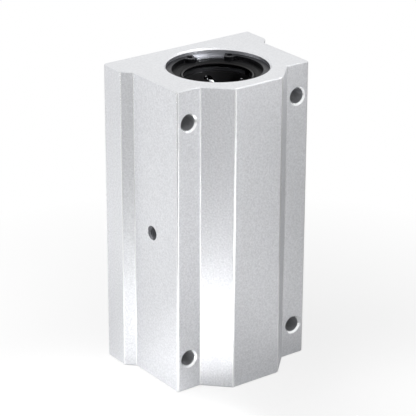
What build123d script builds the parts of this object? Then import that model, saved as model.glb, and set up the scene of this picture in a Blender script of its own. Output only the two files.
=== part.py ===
import os
from math import asin, cos, pi, radians, sin

from build123d import *

os.makedirs("parts", exist_ok=True)

# Linear bearing block for a 30 mm shaft, standing on one end, sizes in millimetres.
# The origin is on the shaft's axis at mid-length. +Z runs along the shaft, +Y points at
# the mounting face and -Y at the raised crown, and X runs across the mounting flange.

# Driving sizes of the shaft and of one ball bushing
shaft_diameter = 30.0
ball_diameter = 3.969
sleeve_wall = 3.511
bushing_length = 64.0
circuit_count = 6

# Driving sizes of the sleeve, insets are from its ends
land_width = 6.0
land_end_taper = 0.6
clip_groove_inset = 9.75
clip_groove_width = 1.85
clip_groove_depth = 1.0
seat_step = 0.25
sleeve_edge_chamfer = 0.5
end_ring_groove_depth = 0.4

# Driving sizes of the cage and of the closed ball loops in it
cage_bore_clearance = 0.35
cage_clearance = 0.14
track_angle = 20.0
return_track_lift = 1.2
loop_end_margin = 7.0
ball_side_clearance = 0.115

# Driving sizes of the seal and of the end ring, with depths from the bushing's end
# and heights from the shaft
seal_recess = 0.1
seal_thickness = 2.25
seal_face_height = 2.6
seal_dish_height = 1.3
seal_dish_depth = 0.65
lip_thickness = 0.7
lip_land = 0.4
lip_set_back = 0.45
end_ring_thickness = 1.7
end_ring_height = 1.0
end_ring_gap = 3.0

# Driving sizes of the housing
base_wall = 7.5
crown_wall = 7.0
wall_beside_bore = 3.0
bolt_hole_diameter = 7.0
bolt_countersink_diameter = 8.6
bolt_thread_diameter = 8.0
bolt_thread_mouth_diameter = 8.8
bolt_thread_depth = 18.0
bolt_end_margin = 15.0
strip_width = 12.0
strip_step = 10.5
flange_overhang = 4.0
flange_thickness = 13.0
corner_radius = 0.8
crown_corner_radius = 1.5
end_chamfer = 0.5
bore_mouth_chamfer = 0.8
grease_thread_diameter = 6.0
grease_mouth_diameter = 6.6
grease_thread_depth = 9.0
grease_passage_diameter = 3.2

# Driving sizes of the parts that hold the bushings
ring_depth = 2.15
ring_thickness = 1.75
ring_groove_depth = 1.25
ring_width = 3.85
ring_bore_shift = 0.6
ring_gap_angle = 38.6
ring_gap_direction = 64.3
ring_corner_radius = 0.5
lug_angle = 50.6
lug_radius = 3.0
lug_inset = 0.15
lug_hole_diameter = 2.5
spacer_length = 4.0
spacer_wall = 2.0
spacer_groove_width = 2.0
spacer_groove_depth = 0.7
spacer_hole_diameter = 2.0

# Directions of the first load-carrying track of each bushing, seen from above
first_track_direction = {"upper": 63.0, "lower": 33.0}

# Clearances between neighbouring pieces
slip_clearance = 0.01
axial_clearance = 0.02
groove_clearance = 0.05
ring_axial_clearance = 0.1
ball_clearance = 0.02
ball_spacing_clearance = 0.02
end_ring_clearance = 0.05
cage_end_clearance = 0.15
relief_clearance = 0.16

# Sizes that follow from the driving sizes
shaft_radius = shaft_diameter / 2
ball_radius = ball_diameter / 2
bushing_inset = ring_depth + ring_thickness + ring_axial_clearance
housing_length = 2 * (bushing_inset + bushing_length) + spacer_length
bushing_centre = (spacer_length + bushing_length) / 2

load_track_radius = shaft_radius + ball_radius + ball_clearance / 2
return_track_radius = load_track_radius + return_track_lift
land_radius = shaft_radius + ball_diameter + ball_clearance
bushing_radius = land_radius + sleeve_wall
bore_radius = bushing_radius + slip_clearance
relief_radius = return_track_radius + ball_radius + relief_clearance
seat_radius = relief_radius + seat_step
channel_radius = ball_radius + ball_side_clearance
cage_bore_radius = shaft_radius + cage_bore_clearance
cage_radius = land_radius - cage_clearance
cage_wall = cage_radius - cage_bore_radius

ring_radius = bushing_radius + ring_groove_depth - groove_clearance
lug_circle_radius = ring_radius - lug_inset - lug_radius
seat_depth = seal_recess + seal_thickness
ring_slot = end_ring_thickness + 2 * end_ring_clearance
cage_length = bushing_length - 2 * (seat_depth + ring_slot + cage_end_clearance)

base_y = bushing_radius + base_wall
crown_y = -(bushing_radius + crown_wall)
strip_y = crown_y + strip_step
bolt_x = bushing_radius + wall_beside_bore + bolt_hole_diameter / 2
bolt_z = housing_length / 2 - bolt_end_margin
strip_inner_x = bolt_x - strip_width / 2
body_x = bolt_x + strip_width / 2
flange_x = body_x + flange_overhang
flange_y = base_y - flange_thickness


def direction(angle):
    """Unit vector across the shaft at an angle from +X."""
    return Vector(cos(radians(angle)), sin(radians(angle)), 0)


# Each ball loop is flat: its plane holds the load track and the return track
track_step = direction(track_angle) * return_track_radius - direction(0) * load_track_radius
turn_radius = track_step.length / 2
track_run = bushing_length - 2 * loop_end_margin - 2 * turn_radius
loop_length = 2 * track_run + 2 * pi * turn_radius
ball_pitch = 2 * turn_radius * asin((ball_diameter + ball_spacing_clearance) / (2 * turn_radius))
balls_per_loop = int(loop_length / ball_pitch)


def loop_plane(load_angle, height):
    """Plane of one ball loop, with its own X from the load track to the return track."""
    load_point = direction(load_angle) * load_track_radius
    return_point = direction(load_angle + track_angle) * return_track_radius
    across = return_point - load_point
    middle = (load_point + return_point) / 2 + Vector(0, 0, height)
    return Plane(origin=middle, x_dir=across, z_dir=(across.Y, -across.X, 0))


def ball_path(plane):
    """Closed path of the ball centres: up the load track, over, and down the return track."""
    top = track_run / 2
    with BuildLine(plane) as path:
        Line((-turn_radius, -top), (-turn_radius, top))
        ThreePointArc((-turn_radius, top), (0, top + turn_radius), (turn_radius, top))
        Line((turn_radius, top), (turn_radius, -top))
        ThreePointArc((turn_radius, -top), (0, -top - turn_radius), (-turn_radius, -top))
    return path.wire()


# Housing: one extruded aluminium section, bored, drilled and chamfered
half_outline = [
    (flange_x, base_y),
    (flange_x, flange_y),
    (body_x, flange_y - flange_overhang),
    (body_x, strip_y),
    (strip_inner_x, strip_y),
    (strip_inner_x - strip_step, crown_y),
]
strip_plane = Plane(origin=(0, strip_y, 0), x_dir=(1, 0, 0), z_dir=(0, -1, 0))
base_plane = Plane(origin=(0, base_y, 0), x_dir=(1, 0, 0), z_dir=(0, 1, 0))
grease_plane = Plane(origin=(-body_x, 0, 0), x_dir=(0, 1, 0), z_dir=(-1, 0, 0))

with BuildPart() as housing:
    with BuildSketch(Plane.XY.offset(-housing_length / 2)) as section:
        with BuildLine():
            Polyline(*half_outline, *[(-x, y) for x, y in reversed(half_outline)], close=True)
        make_face()
        crown_corners = section.vertices().group_by(Axis.Y)[0]
        fillet(crown_corners, radius=crown_corner_radius)
        other_corners = section.vertices().filter_by(lambda corner: corner.Y > strip_y - corner_radius)
        fillet(other_corners, radius=corner_radius)
    extrude(amount=housing_length)
    end_faces = housing.faces().filter_by(Axis.Z)
    chamfer([edge for face in end_faces for edge in face.outer_wire().edges()], length=end_chamfer)

    with BuildSketch(Plane.XY.offset(-housing_length / 2)):
        Circle(bore_radius)
    extrude(amount=housing_length, mode=Mode.SUBTRACT)
    bore_mouths = housing.edges().filter_by(GeomType.CIRCLE).group_by(SortBy.RADIUS)[-1]
    chamfer(bore_mouths, length=bore_mouth_chamfer)

    # A groove near each mouth takes the ring that holds the bushings
    for groove_top in (housing_length / 2 - ring_depth, bushing_inset - housing_length / 2):
        with BuildSketch(Plane.XY.offset(groove_top)):
            Circle(bushing_radius + ring_groove_depth)
        extrude(amount=-(ring_thickness + ring_axial_clearance), mode=Mode.SUBTRACT)

    # Bolt holes go right through, and are threaded from the mounting face
    with Locations(strip_plane):
        with GridLocations(2 * bolt_x, 2 * bolt_z, 2, 2):
            CounterSinkHole(bolt_hole_diameter / 2, bolt_countersink_diameter / 2, counter_sink_angle=90)
    with Locations(base_plane):
        with GridLocations(2 * bolt_x, 2 * bolt_z, 2, 2):
            CounterSinkHole(
                bolt_thread_diameter / 2,
                bolt_thread_mouth_diameter / 2,
                depth=bolt_thread_depth,
                counter_sink_angle=90,
            )

    # The grease port opens into the bore between the two bushings
    with Locations(grease_plane):
        CounterSinkHole(
            grease_thread_diameter / 2,
            grease_mouth_diameter / 2,
            depth=grease_thread_depth,
            counter_sink_angle=90,
        )
        Hole(grease_passage_diameter / 2, depth=body_x)

housing.part.label = "housing"
export_step(housing.part, "parts/housing.step")

# Spacer ring: keeps the bushings apart and spreads the grease around the bore
with BuildPart() as spacer_ring:
    spacer_body_length = spacer_length - 2 * axial_clearance
    with BuildSketch(Plane.XY.offset(-spacer_body_length / 2)):
        Circle(bushing_radius)
        Circle(bushing_radius - spacer_wall, mode=Mode.SUBTRACT)
    extrude(amount=spacer_body_length)
    with BuildSketch(Plane.XY.offset(-spacer_groove_width / 2)):
        Circle(bushing_radius)
        Circle(bushing_radius - spacer_groove_depth, mode=Mode.SUBTRACT)
    extrude(amount=spacer_groove_width, mode=Mode.SUBTRACT)
    for hole in range(circuit_count // 2):
        with BuildSketch(Plane(origin=(0, 0, 0), z_dir=direction(hole * 360 / circuit_count))):
            Circle(spacer_hole_diameter / 2)
        extrude(amount=bushing_radius, both=True, mode=Mode.SUBTRACT)

spacer_ring.part.label = "spacer_ring"
export_step(spacer_ring.part, "parts/spacer_ring.step")

# Channel cutter: the closed groove that one ball loop needs in the cage, round at its floor.
# It is two straight grooves joined by two half turns, standing at the angle 0.
channel_plane = loop_plane(0, 0)


def groove_section(x, y):
    """Section of the groove at a point of the loop plane, open outwards."""
    spot = channel_plane.from_local_coords((x, y, 0))
    with BuildSketch(Plane(origin=spot, x_dir=channel_plane.z_dir, z_dir=(0, 0, 1))) as groove:
        Circle(channel_radius)
        Rectangle(2 * cage_wall, 2 * channel_radius, align=(Align.MIN, Align.CENTER))
    return groove.sketch


with BuildPart() as channel:
    for x in (-turn_radius, turn_radius):
        extrude(groove_section(x, -track_run / 2), amount=track_run)
    for half_turn in (-1, 1):
        turn_centre = channel_plane.from_local_coords((0, half_turn * track_run / 2, 0))
        revolve(
            groove_section(-turn_radius, half_turn * track_run / 2),
            axis=Axis(turn_centre, channel_plane.z_dir),
            revolution_arc=-half_turn * 180,
        )

for end, side in (("upper", 1), ("lower", -1)):
    centre = side * bushing_centre
    bushing_end = side * (bushing_centre + bushing_length / 2)
    load_angles = [first_track_direction[end] + k * 360 / circuit_count for k in range(circuit_count)]
    ball_paths = [ball_path(loop_plane(angle, centre)) for angle in load_angles]

    # Retaining ring: sprung into its groove, with two lugs at the gap for the pliers
    with BuildPart() as retaining_ring:
        with BuildSketch(Plane.XY.offset(bushing_end + side * axial_clearance)) as ring_section:
            Circle(ring_radius)
            with Locations(direction(ring_gap_direction) * ring_bore_shift):
                Circle(ring_radius - ring_width, mode=Mode.SUBTRACT)
            lug_centres = [
                direction(ring_gap_direction + turn * lug_angle / 2) * lug_circle_radius for turn in (-1, 1)
            ]
            with Locations(*lug_centres):
                Circle(lug_radius)
            with BuildLine():
                reach = 2 * bushing_radius
                Polyline(
                    (0, 0),
                    direction(ring_gap_direction - ring_gap_angle / 2) * reach,
                    direction(ring_gap_direction + ring_gap_angle / 2) * reach,
                    close=True,
                )
            make_face(mode=Mode.SUBTRACT)
            fillet(ring_section.vertices(), radius=ring_corner_radius)
            with Locations(*lug_centres):
                Circle(lug_hole_diameter / 2, mode=Mode.SUBTRACT)
        extrude(amount=side * ring_thickness)
    retaining_ring.part.label = f"{end}_retaining_ring"
    export_step(retaining_ring.part, f"parts/{end}_retaining_ring.step")

    # Bearing sleeve: ground steel tube with a raised land over each load track
    with BuildPart() as bearing_sleeve:
        with BuildSketch(Plane.XY.offset(centre - bushing_length / 2)):
            Circle(bushing_radius)
            Circle(relief_radius, mode=Mode.SUBTRACT)
        extrude(amount=bushing_length)
        outer_edges = bearing_sleeve.edges().filter_by(GeomType.CIRCLE).group_by(SortBy.RADIUS)[-1]
        chamfer(outer_edges, length=sleeve_edge_chamfer)
        for turn in (-1, 1):
            sleeve_end = centre + turn * bushing_length / 2
            with BuildSketch(Plane.XY.offset(sleeve_end)):
                Circle(seat_radius)
            extrude(amount=-turn * seat_depth, mode=Mode.SUBTRACT)
            with BuildSketch(Plane.XY.offset(sleeve_end - turn * seat_depth)):
                Circle(seat_radius + end_ring_groove_depth)
            extrude(amount=-turn * ring_slot, mode=Mode.SUBTRACT)
            with BuildSketch(Plane.XY.offset(sleeve_end - turn * clip_groove_inset)):
                Circle(bushing_radius)
                Circle(bushing_radius - clip_groove_depth, mode=Mode.SUBTRACT)
            extrude(amount=-turn * clip_groove_width, mode=Mode.SUBTRACT)
        land_height = relief_radius - land_radius
        with BuildSketch(Plane.XY.offset(centre - track_run / 2)):
            for angle in load_angles:
                with Locations(Location(direction(angle) * relief_radius, (0, 0, 1), angle)):
                    Rectangle(2 * land_height, land_width)
            Circle(land_radius, mode=Mode.SUBTRACT)
        extrude(amount=track_run)
        land_ends = bearing_sleeve.edges().filter_by(GeomType.CIRCLE).group_by(SortBy.RADIUS)[0]
        chamfer(land_ends, length=land_end_taper)
    bearing_sleeve.part.label = f"{end}_bearing_sleeve"
    export_step(bearing_sleeve.part, f"parts/{end}_bearing_sleeve.step")

    # Ball cage: thin tube with six closed loops, each open to the shaft along its load track
    with BuildPart() as ball_cage:
        with BuildSketch(Plane.XY.offset(centre - cage_length / 2)):
            Circle(cage_radius)
            Circle(cage_bore_radius, mode=Mode.SUBTRACT)
        extrude(amount=cage_length)
        with Locations(*[Location((0, 0, centre), (0, 0, 1), angle) for angle in load_angles]):
            add(channel.part, mode=Mode.SUBTRACT)
    ball_cage.part.label = f"{end}_ball_cage"
    export_step(ball_cage.part, f"parts/{end}_ball_cage.step")

    # Ball circuits: one closed train of separate steel balls in each loop
    over_the_top = (track_run + pi * turn_radius / 2) / loop_length
    for number, path in enumerate(ball_paths, start=1):
        with BuildPart() as ball_circuit:
            places = [(over_the_top + i / balls_per_loop) % 1 for i in range(balls_per_loop)]
            with Locations(*path.positions(places)):
                Sphere(ball_radius)
        ball_circuit.part.label = f"{end}_ball_circuit_{number}"
        export_step(ball_circuit.part, f"parts/{end}_ball_circuit_{number}.step")

    # End rings: split rings that snap into the sleeve and hold the cage between them
    for place, turn in (("outer", side), ("inner", -side)):
        slot_start = centre + turn * (bushing_length / 2 - seat_depth - end_ring_clearance)
        with BuildPart() as end_ring:
            with BuildSketch(Plane.XY.offset(slot_start)):
                Circle(seat_radius + end_ring_groove_depth - end_ring_clearance)
                Circle(shaft_radius + end_ring_height, mode=Mode.SUBTRACT)
                with Locations(Location(direction(0) * seat_radius)):
                    Rectangle(seat_radius, end_ring_gap, mode=Mode.SUBTRACT)
            extrude(amount=-turn * end_ring_thickness)
        end_ring.part.label = f"{end}_{place}_end_ring"
        export_step(end_ring.part, f"parts/{end}_{place}_end_ring.step")

    # Shaft seal: dished rubber disc whose lip runs on the shaft, only at the block's own end
    lip_tip = seal_recess + lip_set_back
    lip_back = lip_tip + lip_land
    with BuildPart() as shaft_seal:
        with BuildSketch(Plane.XZ):
            with BuildLine():
                seal_points = [
                    (seat_radius - axial_clearance, seal_recess),
                    (shaft_radius + seal_face_height, seal_recess),
                    (shaft_radius + seal_dish_height, seal_recess + seal_dish_depth),
                    (shaft_radius + lip_thickness, lip_tip - lip_set_back / 2),
                    (shaft_radius, lip_tip),
                    (shaft_radius, lip_back),
                    (shaft_radius + seal_dish_height, lip_back + lip_thickness),
                    (shaft_radius + seal_face_height, seal_recess + seal_thickness),
                    (seat_radius - axial_clearance, seal_recess + seal_thickness),
                ]
                Polyline(*[(r, bushing_end - side * depth) for r, depth in seal_points], close=True)
            make_face()
        revolve(axis=Axis.Z)
    shaft_seal.part.label = f"{end}_shaft_seal"
    export_step(shaft_seal.part, f"parts/{end}_shaft_seal.step")
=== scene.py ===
from math import cos, pi, radians, sin

import bpy
from mathutils import Matrix, Vector


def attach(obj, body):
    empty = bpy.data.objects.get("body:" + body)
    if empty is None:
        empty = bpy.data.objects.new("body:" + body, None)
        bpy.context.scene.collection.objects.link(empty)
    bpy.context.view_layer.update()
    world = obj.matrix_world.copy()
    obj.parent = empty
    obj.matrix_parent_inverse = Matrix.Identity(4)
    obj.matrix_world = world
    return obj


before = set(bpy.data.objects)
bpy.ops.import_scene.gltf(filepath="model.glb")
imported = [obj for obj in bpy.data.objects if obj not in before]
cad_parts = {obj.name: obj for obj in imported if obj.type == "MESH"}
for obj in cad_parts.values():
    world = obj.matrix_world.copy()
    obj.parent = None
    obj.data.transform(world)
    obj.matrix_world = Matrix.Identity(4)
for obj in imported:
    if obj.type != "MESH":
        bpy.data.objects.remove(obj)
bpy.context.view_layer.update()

MM = 0.001

# The block in millimetres: its lower end, and where its bolt holes and grease port are
foot_z = -70.0
bolt_x = 29.0
bolt_z = 55.0
mounting_y = 30.0
port_x = -35.0

# How far from its axis, in millimetres, a place still belongs to the bore, a bolt hole, the
# port or the seal's lip
bore_reach = 23.9
bolt_reach = 4.4
port_reach = 3.2
seal_lip_reach = 15.6


def srgb(hex_value):
    """Linear colour of an sRGB hex value."""
    channels = [int(hex_value[i : i + 2], 16) / 255 for i in (1, 3, 5)]
    linear = [c / 12.92 if c <= 0.04045 else ((c + 0.055) / 1.055) ** 2.4 for c in channels]
    return (*linear, 1.0)


def add_node(tree, kind, inputs=(), **settings):
    """Adds a node. Each input is given a value, or the socket or node that feeds it."""
    node = tree.nodes.new(kind)
    for name, value in settings.items():
        setattr(node, name, value)
    for key, value in inputs.items() if isinstance(inputs, dict) else enumerate(inputs):
        if isinstance(value, bpy.types.Node):
            value = next(socket for socket in value.outputs if socket.enabled)
        if isinstance(value, bpy.types.NodeSocket):
            tree.links.new(value, node.inputs[key])
        else:
            node.inputs[key].default_value = value
    return node


def new_finish(name):
    """A material with an empty node tree, and that tree."""
    material = bpy.data.materials.new(name)
    material.use_nodes = True
    material.node_tree.nodes.clear()
    return material, material.node_tree


def grain(tree, size, stretch=(1, 1, 1), detail=2.0):
    """Noise around 0.5 with grains of about size millimetres, drawn out along an axis."""
    place = add_node(tree, "ShaderNodeTexCoord").outputs["Object"]
    squeezed = add_node(tree, "ShaderNodeVectorMath", [place, stretch], operation="MULTIPLY")
    return add_node(
        tree,
        "ShaderNodeTexNoise",
        {"Vector": squeezed, "Scale": 1 / (size * MM), "Detail": detail},
    )


def axis_distance(tree):
    """How far a place is from the shaft's axis, in metres."""
    place = add_node(tree, "ShaderNodeTexCoord").outputs["Object"]
    across = add_node(tree, "ShaderNodeVectorMath", [place, (1, 1, 0)], operation="MULTIPLY")
    return add_node(tree, "ShaderNodeVectorMath", [across], operation="LENGTH").outputs["Value"]


def tool_rings(tree, pitch):
    """Rings round the shaft's axis, pitch millimetres apart, from -1 to 1, with some wander."""
    place = add_node(tree, "ShaderNodeTexCoord").outputs["Object"]
    along = add_node(tree, "ShaderNodeSeparateXYZ", [place]).outputs["Z"]
    wander = grain(tree, 1.5, (0.1, 0.1, 1))
    wander = add_node(tree, "ShaderNodeMath", [wander, 4.0], operation="MULTIPLY")
    turn = [along, 2 * pi / (pitch * MM), wander]
    phase = add_node(tree, "ShaderNodeMath", turn, operation="MULTIPLY_ADD")
    return add_node(tree, "ShaderNodeMath", [phase], operation="SINE")


def make_satin_aluminium():
    """Anodised aluminium extrusion, machined where the block is cut.

    The eye sees a silvery matt skin with a sandy sparkle on the drawn sides, a smoother
    and lighter milled end, bright countersinks, duller drilled holes, and turned rings
    in the bore. The bore wall and the grease port are toned darker as painted shade, and
    the rounded corners lighter as a painted highlight.
    """
    material, tree = new_finish("satin_aluminium")
    coordinates = add_node(tree, "ShaderNodeTexCoord").outputs
    place = add_node(tree, "ShaderNodeVectorMath", [coordinates["Object"]], operation="ABSOLUTE")
    place = add_node(tree, "ShaderNodeSeparateXYZ", [place]).outputs
    facing = add_node(tree, "ShaderNodeVectorMath", [coordinates["Normal"]], operation="ABSOLUTE")
    facing = add_node(tree, "ShaderNodeSeparateXYZ", [facing]).outputs

    # How squarely a surface has to face along an axis, from 0 to 1, to be an end, a strip, a
    # countersink or a side, and how far from its steps of 45 degrees a rounded corner faces
    end_facing = 0.6
    strip_facing = 0.9
    countersink_facing = 0.5
    side_facing = 0.8
    corner_turn = 0.08

    # Shares of 0 or 1 that say how a place on the block was cut
    on_end = [facing["Z"], end_facing]
    on_end = add_node(tree, "ShaderNodeMath", on_end, operation="GREATER_THAN")
    within = [axis_distance(tree), bore_reach * MM]
    within = add_node(tree, "ShaderNodeMath", within, operation="LESS_THAN")
    in_bore = add_node(tree, "ShaderNodeMath", [within, on_end], operation="SUBTRACT", use_clamp=True)
    by_x = [place["X"], bolt_x * MM, bolt_reach * MM]
    by_x = add_node(tree, "ShaderNodeMath", by_x, operation="COMPARE")
    by_z = [place["Z"], bolt_z * MM, bolt_reach * MM]
    by_z = add_node(tree, "ShaderNodeMath", by_z, operation="COMPARE")
    by_bolt = add_node(tree, "ShaderNodeMath", [by_x, by_z], operation="MULTIPLY")
    sloped = [facing["Y"], strip_facing]
    sloped = add_node(tree, "ShaderNodeMath", sloped, operation="LESS_THAN")
    upright = [facing["Y"], countersink_facing]
    upright = add_node(tree, "ShaderNodeMath", upright, operation="LESS_THAN")
    cut = add_node(tree, "ShaderNodeMath", [by_bolt, sloped], operation="MULTIPLY")
    bolt_hole = add_node(tree, "ShaderNodeMath", [by_bolt, upright], operation="MULTIPLY")
    countersink = add_node(tree, "ShaderNodeMath", [cut, bolt_hole], operation="SUBTRACT")
    by_y = [place["Y"], 0.0, port_reach * MM]
    by_y = add_node(tree, "ShaderNodeMath", by_y, operation="COMPARE")
    by_middle = [place["Z"], 0.0, port_reach * MM]
    by_middle = add_node(tree, "ShaderNodeMath", by_middle, operation="COMPARE")
    by_port = add_node(tree, "ShaderNodeMath", [by_y, by_middle], operation="MULTIPLY")
    inward = [facing["X"], side_facing]
    inward = add_node(tree, "ShaderNodeMath", inward, operation="LESS_THAN")
    port = add_node(tree, "ShaderNodeMath", [by_port, inward], operation="MULTIPLY")
    drilled = add_node(tree, "ShaderNodeMath", [bolt_hole, port], operation="MAXIMUM")

    # The sides face in steps of 45 degrees, so any other facing is a rounded corner
    total = add_node(tree, "ShaderNodeMath", [facing["X"], facing["Y"]], operation="ADD")
    gap = add_node(tree, "ShaderNodeMath", [facing["X"], facing["Y"]], operation="SUBTRACT")
    product = add_node(tree, "ShaderNodeMath", [facing["X"], facing["Y"]], operation="MULTIPLY")
    turn = add_node(tree, "ShaderNodeMath", [total, gap], operation="MULTIPLY")
    turn = add_node(tree, "ShaderNodeMath", [turn, product], operation="MULTIPLY")
    turn = add_node(tree, "ShaderNodeMath", [turn], operation="ABSOLUTE")
    corner = add_node(tree, "ShaderNodeMath", [turn, corner_turn], operation="GREATER_THAN")

    # Relief: sand grain and faint die lines, cutter lines on the ends, rings in the bore. All
    # are drawn coarser and deeper than real ones, which are too fine to show
    sand = grain(tree, 0.75, detail=3.0)
    side = [grain(tree, 0.9, (1, 1, 0.02)), 0.25, sand]
    side = add_node(tree, "ShaderNodeMath", side, operation="MULTIPLY_ADD")
    end = [grain(tree, 0.5, (1, 0.06, 1)), 0.35, sand]
    end = add_node(tree, "ShaderNodeMath", end, operation="MULTIPLY_ADD")
    end = add_node(tree, "ShaderNodeMath", [end, 0.8], operation="MULTIPLY")
    outside = add_node(tree, "ShaderNodeMix", {0: on_end, 2: side, 3: end})
    rings = add_node(tree, "ShaderNodeMath", [tool_rings(tree, 0.35), 0.15], operation="MULTIPLY")
    height = add_node(tree, "ShaderNodeMix", {0: in_bore, 2: outside, 3: rings})

    # Tone and roughness of each kind of cut
    tone = {0: sand, 6: srgb("#c0c1c4"), 7: srgb("#f0f1f4")}
    tone = add_node(tree, "ShaderNodeMix", tone, data_type="RGBA")
    end_tone = {0: sand, 6: srgb("#d2d3d6"), 7: srgb("#f0f1f3")}
    end_tone = add_node(tree, "ShaderNodeMix", end_tone, data_type="RGBA")
    tone = add_node(tree, "ShaderNodeMix", {0: on_end, 6: tone, 7: end_tone}, data_type="RGBA")
    # Rounded corners are lighter and smoother: the lighter tone is a painted highlight along the
    # edges
    corner_painted_highlight = {0: corner, 6: tone, 7: srgb("#f4f5f6")}
    tone = add_node(tree, "ShaderNodeMix", corner_painted_highlight, data_type="RGBA")
    # The bore wall is toned darker: painted shade inside the bore
    bore_painted_shade = {0: in_bore, 6: tone, 7: srgb("#94959a")}
    tone = add_node(tree, "ShaderNodeMix", bore_painted_shade, data_type="RGBA")
    dull = {0: bolt_hole, 6: tone, 7: srgb("#d6d7d9")}
    tone = add_node(tree, "ShaderNodeMix", dull, data_type="RGBA")
    # The grease port and its thread are toned darker inside: painted shade in the hole
    port_painted_shade = {0: port, 6: tone, 7: srgb("#85868a")}
    tone = add_node(tree, "ShaderNodeMix", port_painted_shade, data_type="RGBA")
    bright = {0: countersink, 6: tone, 7: srgb("#f2f3f4")}
    tone = add_node(tree, "ShaderNodeMix", bright, data_type="RGBA")
    rough = add_node(tree, "ShaderNodeMix", {0: on_end, 2: 0.42, 3: 0.34})
    rough = add_node(tree, "ShaderNodeMix", {0: corner, 2: rough, 3: 0.2})
    rough = add_node(tree, "ShaderNodeMix", {0: drilled, 2: rough, 3: 0.6})
    rough = add_node(tree, "ShaderNodeMix", {0: countersink, 2: rough, 3: 0.25})
    rough = add_node(tree, "ShaderNodeMix", {0: in_bore, 2: rough, 3: 0.32})
    bump = {"Height": height, "Distance": 0.13 * MM}
    shader = add_node(
        tree,
        "ShaderNodeBsdfPrincipled",
        {
            "Base Color": tone,
            "Metallic": 1.0,
            "Roughness": rough,
            "Normal": add_node(tree, "ShaderNodeBump", bump),
        },
    )
    add_node(tree, "ShaderNodeOutputMaterial", [shader])
    return material


def make_spacer_aluminium():
    """Bare turned aluminium: brighter and plainer than the block, with a ringed sheen."""
    material, tree = new_finish("spacer_aluminium")
    tone = {0: grain(tree, 2.0), 6: srgb("#d2d3d4"), 7: srgb("#dfe0e2")}
    bump = {"Height": tool_rings(tree, 0.25), "Distance": 0.003 * MM}
    shader = add_node(
        tree,
        "ShaderNodeBsdfPrincipled",
        {
            "Base Color": add_node(tree, "ShaderNodeMix", tone, data_type="RGBA"),
            "Metallic": 1.0,
            "Roughness": 0.3,
            "Normal": add_node(tree, "ShaderNodeBump", bump),
        },
    )
    add_node(tree, "ShaderNodeOutputMaterial", [shader])
    return material


def make_spring_steel():
    """Blackened spring steel: nearly black, oily, tumbled until its edges glint softly."""
    material, tree = new_finish("spring_steel")
    tumbled = grain(tree, 1.2, detail=4.0)
    rough = add_node(tree, "ShaderNodeMapRange", {"Value": tumbled, "To Min": 0.24, "To Max": 0.4})
    tone = {0: tumbled, 6: srgb("#232325"), 7: srgb("#3e3e42")}
    bump = {"Height": tumbled, "Distance": 0.015 * MM}
    shader = add_node(
        tree,
        "ShaderNodeBsdfPrincipled",
        {
            "Base Color": add_node(tree, "ShaderNodeMix", tone, data_type="RGBA"),
            "Metallic": 1.0,
            "Roughness": rough,
            "Normal": add_node(tree, "ShaderNodeBump", bump),
        },
    )
    add_node(tree, "ShaderNodeOutputMaterial", [shader])
    return material


def make_ground_steel():
    """Ground bearing steel: bright, with the faint rings that a grinding wheel leaves."""
    material, tree = new_finish("ground_steel")
    clouds = grain(tree, 1.0, (0.2, 0.2, 1))
    tone = {0: clouds, 6: srgb("#bcbdc0"), 7: srgb("#d0d1d3")}
    bump = {"Height": tool_rings(tree, 0.18), "Distance": 0.002 * MM}
    shader = add_node(
        tree,
        "ShaderNodeBsdfPrincipled",
        {
            "Base Color": add_node(tree, "ShaderNodeMix", tone, data_type="RGBA"),
            "Metallic": 1.0,
            "Roughness": 0.22,
            "Normal": add_node(tree, "ShaderNodeBump", bump),
        },
    )
    add_node(tree, "ShaderNodeOutputMaterial", [shader])
    return material


def make_ring_steel():
    """Stamped steel: a dull dark grey with short fine scratches."""
    material, tree = new_finish("ring_steel")
    scratches = grain(tree, 0.6, (1, 0.15, 1), detail=3.0)
    tone = {0: scratches, 6: srgb("#5c5d61"), 7: srgb("#77787c")}
    bump = {"Height": scratches, "Distance": 0.008 * MM}
    shader = add_node(
        tree,
        "ShaderNodeBsdfPrincipled",
        {
            "Base Color": add_node(tree, "ShaderNodeMix", tone, data_type="RGBA"),
            "Metallic": 1.0,
            "Roughness": 0.33,
            "Normal": add_node(tree, "ShaderNodeBump", bump),
        },
    )
    add_node(tree, "ShaderNodeOutputMaterial", [shader])
    return material


def make_ball_steel():
    """Polished ball steel: mirror bright under a film of grease that blurs it in patches."""
    material, tree = new_finish("ball_steel")
    film = grain(tree, 2.5)
    rough = add_node(tree, "ShaderNodeMapRange", {"Value": film, "To Min": 0.05, "To Max": 0.16})
    tone = {0: film, 6: srgb("#c6c7c9"), 7: srgb("#d8d9da")}
    shader = add_node(
        tree,
        "ShaderNodeBsdfPrincipled",
        {
            "Base Color": add_node(tree, "ShaderNodeMix", tone, data_type="RGBA"),
            "Metallic": 1.0,
            "Roughness": rough,
        },
    )
    add_node(tree, "ShaderNodeOutputMaterial", [shader])
    return material


def make_cage_resin():
    """Moulded black resin: half matt, with the fine pebble of the mould."""
    material, tree = new_finish("cage_resin")
    pebble = grain(tree, 0.3, detail=3.0)
    rough = add_node(tree, "ShaderNodeMapRange", {"Value": pebble, "To Min": 0.32, "To Max": 0.48})
    tone = {0: pebble, 6: srgb("#0b0b0c"), 7: srgb("#161617")}
    bump = {"Height": pebble, "Distance": 0.01 * MM}
    shader = add_node(
        tree,
        "ShaderNodeBsdfPrincipled",
        {
            "Base Color": add_node(tree, "ShaderNodeMix", tone, data_type="RGBA"),
            "Roughness": rough,
            "Specular IOR Level": 0.3,
            "Normal": add_node(tree, "ShaderNodeBump", bump),
        },
    )
    add_node(tree, "ShaderNodeOutputMaterial", [shader])
    return material


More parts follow.
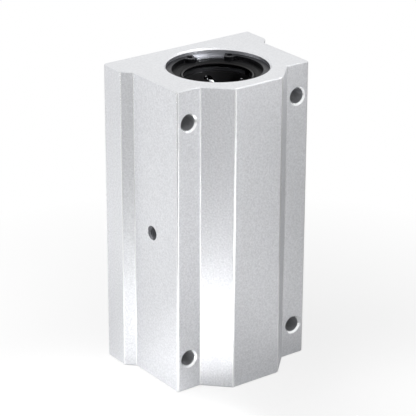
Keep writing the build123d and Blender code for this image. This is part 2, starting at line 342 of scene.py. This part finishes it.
def make_seal_rubber():
    """Black nitrile rubber: a soft sheen, faint moulded ripples and a lip wet with grease."""
    material, tree = new_finish("seal_rubber")
    skin = grain(tree, 0.5, detail=3.0)
    outward = axis_distance(tree)
    ripple = [outward, 2 * pi / (0.5 * MM)]
    ripple = add_node(tree, "ShaderNodeMath", ripple, operation="MULTIPLY")
    ripple = add_node(tree, "ShaderNodeMath", [ripple], operation="SINE")
    height = add_node(tree, "ShaderNodeMath", [ripple, 0.1, skin], operation="MULTIPLY_ADD")
    on_lip = add_node(tree, "ShaderNodeMath", [outward, seal_lip_reach * MM], operation="LESS_THAN")
    dry = add_node(tree, "ShaderNodeMapRange", {"Value": skin, "To Min": 0.36, "To Max": 0.5})
    rough = add_node(tree, "ShaderNodeMix", {0: on_lip, 2: dry, 3: 0.18})
    tone = {0: skin, 6: srgb("#070708"), 7: srgb("#101011")}
    bump = {"Height": height, "Distance": 0.01 * MM}
    shader = add_node(
        tree,
        "ShaderNodeBsdfPrincipled",
        {
            "Base Color": add_node(tree, "ShaderNodeMix", tone, data_type="RGBA"),
            "Roughness": rough,
            "Specular IOR Level": 0.12,
            "Normal": add_node(tree, "ShaderNodeBump", bump),
        },
    )
    add_node(tree, "ShaderNodeOutputMaterial", [shader])
    return material


satin_aluminium = make_satin_aluminium()

# The finish of each piece, by words in its name
finishes = {
    "housing": satin_aluminium,
    "spacer_ring": make_spacer_aluminium(),
    "retaining_ring": make_spring_steel(),
    "bearing_sleeve": make_ground_steel(),
    "end_ring": make_ring_steel(),
    "ball_cage": make_cage_resin(),
    "shaft_seal": make_seal_rubber(),
    "ball_circuit": make_ball_steel(),
}
for name, node_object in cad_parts.items():
    finish = next(finish for words, finish in finishes.items() if words in name)
    node_object.data.materials.clear()
    node_object.data.materials.append(finish)


def make_thread_tree():
    """Screw thread ridges on the wall of a hole, copied to each point of the mesh."""
    # Half the ridge's width at its crest and at the wall, as shares of the pitch
    crest_share = 0.07
    wall_share = 0.43

    tree = bpy.data.node_groups.new("thread_ridges", "GeometryNodeTree")
    sockets = {
        "Geometry": "NodeSocketGeometry",
        "Wall Radius": "NodeSocketFloat",
        "Crest Radius": "NodeSocketFloat",
        "Pitch": "NodeSocketFloat",
        "Depth": "NodeSocketFloat",
        "Steps Per Turn": "NodeSocketInt",
        "Direction": "NodeSocketVector",
        "Material": "NodeSocketMaterial",
    }
    for name, kind in sockets.items():
        tree.interface.new_socket(name, in_out="INPUT", socket_type=kind)
    tree.interface.new_socket("Geometry", in_out="OUTPUT", socket_type="NodeSocketGeometry")
    given = add_node(tree, "NodeGroupInput").outputs

    # A flat strip, one unit long and wide, with a column of points for each step of the turn
    turns = [given["Depth"], given["Pitch"]]
    turns = add_node(tree, "ShaderNodeMath", turns, operation="DIVIDE")
    columns = [turns, given["Steps Per Turn"]]
    columns = add_node(tree, "ShaderNodeMath", columns, operation="MULTIPLY")
    strip = {"Size X": 1.0, "Size Y": 1.0, "Vertices X": columns, "Vertices Y": 4}
    strip = add_node(tree, "GeometryNodeMeshGrid", strip)
    spot = add_node(tree, "ShaderNodeSeparateXYZ", [add_node(tree, "GeometryNodeInputPosition")])
    spot = spot.outputs

    # Its length winds up the hole. Its two outer rows, at 0.5 to either side, lie on the wall,
    # and its two inner rows on the crest
    between_rows = 0.3
    along = add_node(tree, "ShaderNodeMath", [spot["X"], 0.5], operation="ADD")
    turn = add_node(tree, "ShaderNodeMath", [along, turns], operation="MULTIPLY")
    angle = add_node(tree, "ShaderNodeMath", [turn, 2 * pi], operation="MULTIPLY")
    off_middle = add_node(tree, "ShaderNodeMath", [spot["Y"]], operation="ABSOLUTE")
    outer = add_node(tree, "ShaderNodeMath", [off_middle, between_rows], operation="GREATER_THAN")
    reach = add_node(tree, "ShaderNodeMix", {0: outer, 2: crest_share, 3: wall_share})
    side = add_node(tree, "ShaderNodeMath", [spot["Y"]], operation="SIGN")
    height = add_node(tree, "ShaderNodeMath", [side, reach, turn], operation="MULTIPLY_ADD")
    height = add_node(tree, "ShaderNodeMath", [height, given["Pitch"]], operation="MULTIPLY")
    radius = {0: outer, 2: given["Crest Radius"], 3: given["Wall Radius"]}
    radius = add_node(tree, "ShaderNodeMix", radius)
    x = add_node(tree, "ShaderNodeMath", [angle], operation="COSINE")
    x = add_node(tree, "ShaderNodeMath", [x, radius], operation="MULTIPLY")
    y = add_node(tree, "ShaderNodeMath", [angle], operation="SINE")
    y = add_node(tree, "ShaderNodeMath", [y, radius], operation="MULTIPLY")
    helix = add_node(tree, "ShaderNodeCombineXYZ", [x, y, height])
    ridge = add_node(tree, "GeometryNodeSetPosition", {"Geometry": strip, "Position": helix})
    inward = add_node(tree, "GeometryNodeFlipFaces", {"Mesh": ridge})

    turned = add_node(tree, "FunctionNodeAlignRotationToVector", {"Vector": given["Direction"]})
    copies = {"Points": given["Geometry"], "Instance": inward, "Rotation": turned}
    copies = add_node(tree, "GeometryNodeInstanceOnPoints", copies)
    real = add_node(tree, "GeometryNodeRealizeInstances", [copies])
    finished = {"Geometry": real, "Material": given["Material"]}
    finished = add_node(tree, "GeometryNodeSetMaterial", finished)
    add_node(tree, "NodeGroupOutput", [finished])
    return tree


def add_thread(name, mouths, values):
    """A piece with one thread at each mouth, in millimetres, made by the thread tree."""
    points = bpy.data.meshes.new(name)
    points.from_pydata([[c * MM for c in mouth] for mouth in mouths], [], [])
    piece = bpy.data.objects.new(name, points)
    bpy.context.collection.objects.link(piece)
    modifier = piece.modifiers.new(name, "NODES")
    modifier.node_group = thread_tree
    for socket in thread_tree.interface.items_tree:
        if socket.name in values:
            modifier[socket.identifier] = values[socket.name]
    graph = bpy.context.evaluated_depsgraph_get()
    made = bpy.data.meshes.new_from_object(piece.evaluated_get(graph))
    piece.modifiers.clear()
    piece.data = made
    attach(piece, "root")


# How far inside the hole's mouth each thread starts, in millimetres, and how finely it winds
bolt_thread_inset = 1.0
port_thread_inset = 0.8
steps_per_turn = 28

thread_tree = make_thread_tree()
add_thread(
    "bolt_threads",
    [
        (x, mounting_y - bolt_thread_inset, z)
        for x in (-bolt_x, bolt_x)
        for z in (-bolt_z, bolt_z)
    ],
    {
        "Wall Radius": 4.03 * MM,
        "Crest Radius": 3.4 * MM,
        "Pitch": 1.25 * MM,
        "Depth": 16.4 * MM,
        "Steps Per Turn": steps_per_turn,
        "Direction": (0.0, -1.0, 0.0),
        "Material": satin_aluminium,
    },
)
add_thread(
    "grease_port_thread",
    [(port_x + port_thread_inset, 0, 0)],
    {
        "Wall Radius": 3.03 * MM,
        "Crest Radius": 2.55 * MM,
        "Pitch": 1.0 * MM,
        "Depth": 7.6 * MM,
        "Steps Per Turn": steps_per_turn,
        "Direction": (1.0, 0.0, 0.0),
        "Material": satin_aluminium,
    },
)


def plain_white_share(tree, to_the_eye, in_the_metal):
    """How much of a surface is plain white, to the camera's rays and to mirrored ones."""
    rays = add_node(tree, "ShaderNodeLightPath").outputs
    mirrored = [rays["Is Glossy Ray"], rays["Is Transmission Ray"]]
    mirrored = add_node(tree, "ShaderNodeMath", mirrored, operation="MAXIMUM")
    mirrored = add_node(tree, "ShaderNodeMath", [mirrored, in_the_metal], operation="MULTIPLY")
    seen = [rays["Is Camera Ray"], to_the_eye, mirrored]
    return add_node(tree, "ShaderNodeMath", seen, operation="MULTIPLY_ADD")


def add_floor():
    """Pale studio floor: matt white paper that shows the block's soft shadow."""
    half_width = 4.0
    gap_below_block = 0.05
    material, tree = new_finish("white_paper")

    # The shares of plain white grow with the distance from the block's foot, in metres
    place = add_node(tree, "ShaderNodeTexCoord").outputs["Object"]
    away = add_node(tree, "ShaderNodeVectorMath", [place], operation="LENGTH").outputs["Value"]
    to_the_eye = {"Value": away, "From Min": 0.05, "From Max": 0.2, "To Min": 0.8, "To Max": 1.0}
    to_the_eye = add_node(tree, "ShaderNodeMapRange", to_the_eye)
    in_the_metal = {"Value": away, "From Min": 0.3, "From Max": 0.9, "To Min": 0.1, "To Max": 1.0}
    in_the_metal = add_node(tree, "ShaderNodeMapRange", in_the_metal)
    share = plain_white_share(tree, to_the_eye, in_the_metal)

    lit = {"Base Color": srgb("#f0f0f0"), "Roughness": 0.9, "Specular IOR Level": 0.0}
    lit = add_node(tree, "ShaderNodeBsdfPrincipled", lit)
    white = add_node(tree, "ShaderNodeEmission", {"Strength": 1.0})
    paper = add_node(tree, "ShaderNodeMixShader", [share, lit, white])
    add_node(tree, "ShaderNodeOutputMaterial", [paper])
    mesh = bpy.data.meshes.new("studio_floor")
    signs = ((-1, -1), (1, -1), (1, 1), (-1, 1))
    corners = [(x * half_width, y * half_width, 0) for x, y in signs]
    mesh.from_pydata(corners, [], [(0, 1, 2, 3)])
    mesh.materials.append(material)
    floor = bpy.data.objects.new("studio_floor", mesh)
    floor.location.z = (foot_z - gap_below_block) * MM
    bpy.context.collection.objects.link(floor)


def add_world():
    """White surroundings to the eye and in the metal, a low even fill for all else."""
    world = bpy.data.worlds.new("studio")
    bpy.context.scene.world = world
    world.use_nodes = True
    tree = world.node_tree
    tree.nodes.clear()
    share = plain_white_share(tree, 1.0, 1.0)
    strength = add_node(tree, "ShaderNodeMapRange", {"Value": share, "To Min": 0.3, "To Max": 1.0})
    background = {"Color": (1, 1, 1, 1), "Strength": strength}
    background = add_node(tree, "ShaderNodeBackground", background)
    add_node(tree, "ShaderNodeOutputWorld", [background])


def add_light(name, place, target, size, power, spread=180):
    """A square soft light at a place, turned to a target, with its spread in degrees."""
    light = bpy.data.lights.new(name, "AREA")
    light.size = size
    light.energy = power
    light.spread = radians(spread)
    lamp = bpy.data.objects.new(name, light)
    lamp.location = place
    lamp.rotation_euler = (Vector(target) - Vector(place)).to_track_quat("-Z", "Y").to_euler()
    bpy.context.collection.objects.link(lamp)


def add_camera(azimuth, elevation, roll, distance, target, lens):
    """Camera that looks at a target in metres, with angles in degrees."""
    a, e, r = radians(azimuth), radians(elevation), radians(roll)
    back = Vector((sin(a) * cos(e), -cos(a) * cos(e), sin(e)))
    right = (-back).cross(Vector((0, 0, 1))).normalized()
    up = right.cross(-back)
    turned = Matrix((cos(r) * right + sin(r) * up, cos(r) * up - sin(r) * right, back))
    camera = bpy.data.objects.new("camera", bpy.data.cameras.new("camera"))
    place = Matrix.Translation(Vector(target) + back * distance)
    camera.matrix_world = place @ turned.transposed().to_4x4()
    camera.data.lens = lens
    camera.data.sensor_width = 36
    camera.data.clip_start = 0.05
    camera.data.clip_end = 20
    bpy.context.collection.objects.link(camera)
    bpy.context.scene.camera = camera


add_floor()
add_world()
# One low wide lamp at the side, a narrow one into the bore, and eight that light the paper
# where the block mirrors it
add_light("side", (-0.42, 0.24, 0.12), (-0.035, 0.0, 0.0), 0.3, 0.46)
add_light("bore", (0.083, -0.406, 0.35), (0.0, 0.0, 0.075), 0.04, 0.012, 7)
add_light("paper_near", (-0.09, -0.06, 0.15), (-0.09, -0.06, -0.07), 0.06, 0.028, 60)
add_light("paper_corner", (-0.075, -0.07, 0.12), (-0.075, -0.07, -0.07), 0.04, 0.025, 30)
add_light("paper_foot", (-0.06, -0.062, 0.06), (-0.06, -0.062, -0.07), 0.03, 0.03, 30)
add_light("paper_strip", (-0.085, -0.005, 0.1), (-0.085, -0.005, -0.07), 0.04, 0.024, 45)
add_light("paper_right", (0.08, -0.28, 0.3), (0.08, -0.28, -0.07), 0.08, 0.137, 35)
add_light("paper_low", (0.06, -0.09, 0.15), (0.06, -0.09, -0.07), 0.05, 0.014, 35)
add_light("paper_front", (-0.03, -0.2, 0.26), (-0.03, -0.2, -0.07), 0.08, 0.115, 35)
add_light("paper_back", (-0.15, 0.15, 0.3), (-0.15, 0.15, -0.07), 0.1, 0.16, 60)
add_camera(-36.37, 22.75, 0.19, 0.8659, (-0.01808, -0.01781, 0.01366), 174.70)
bpy.context.scene.view_settings.view_transform = "Standard"
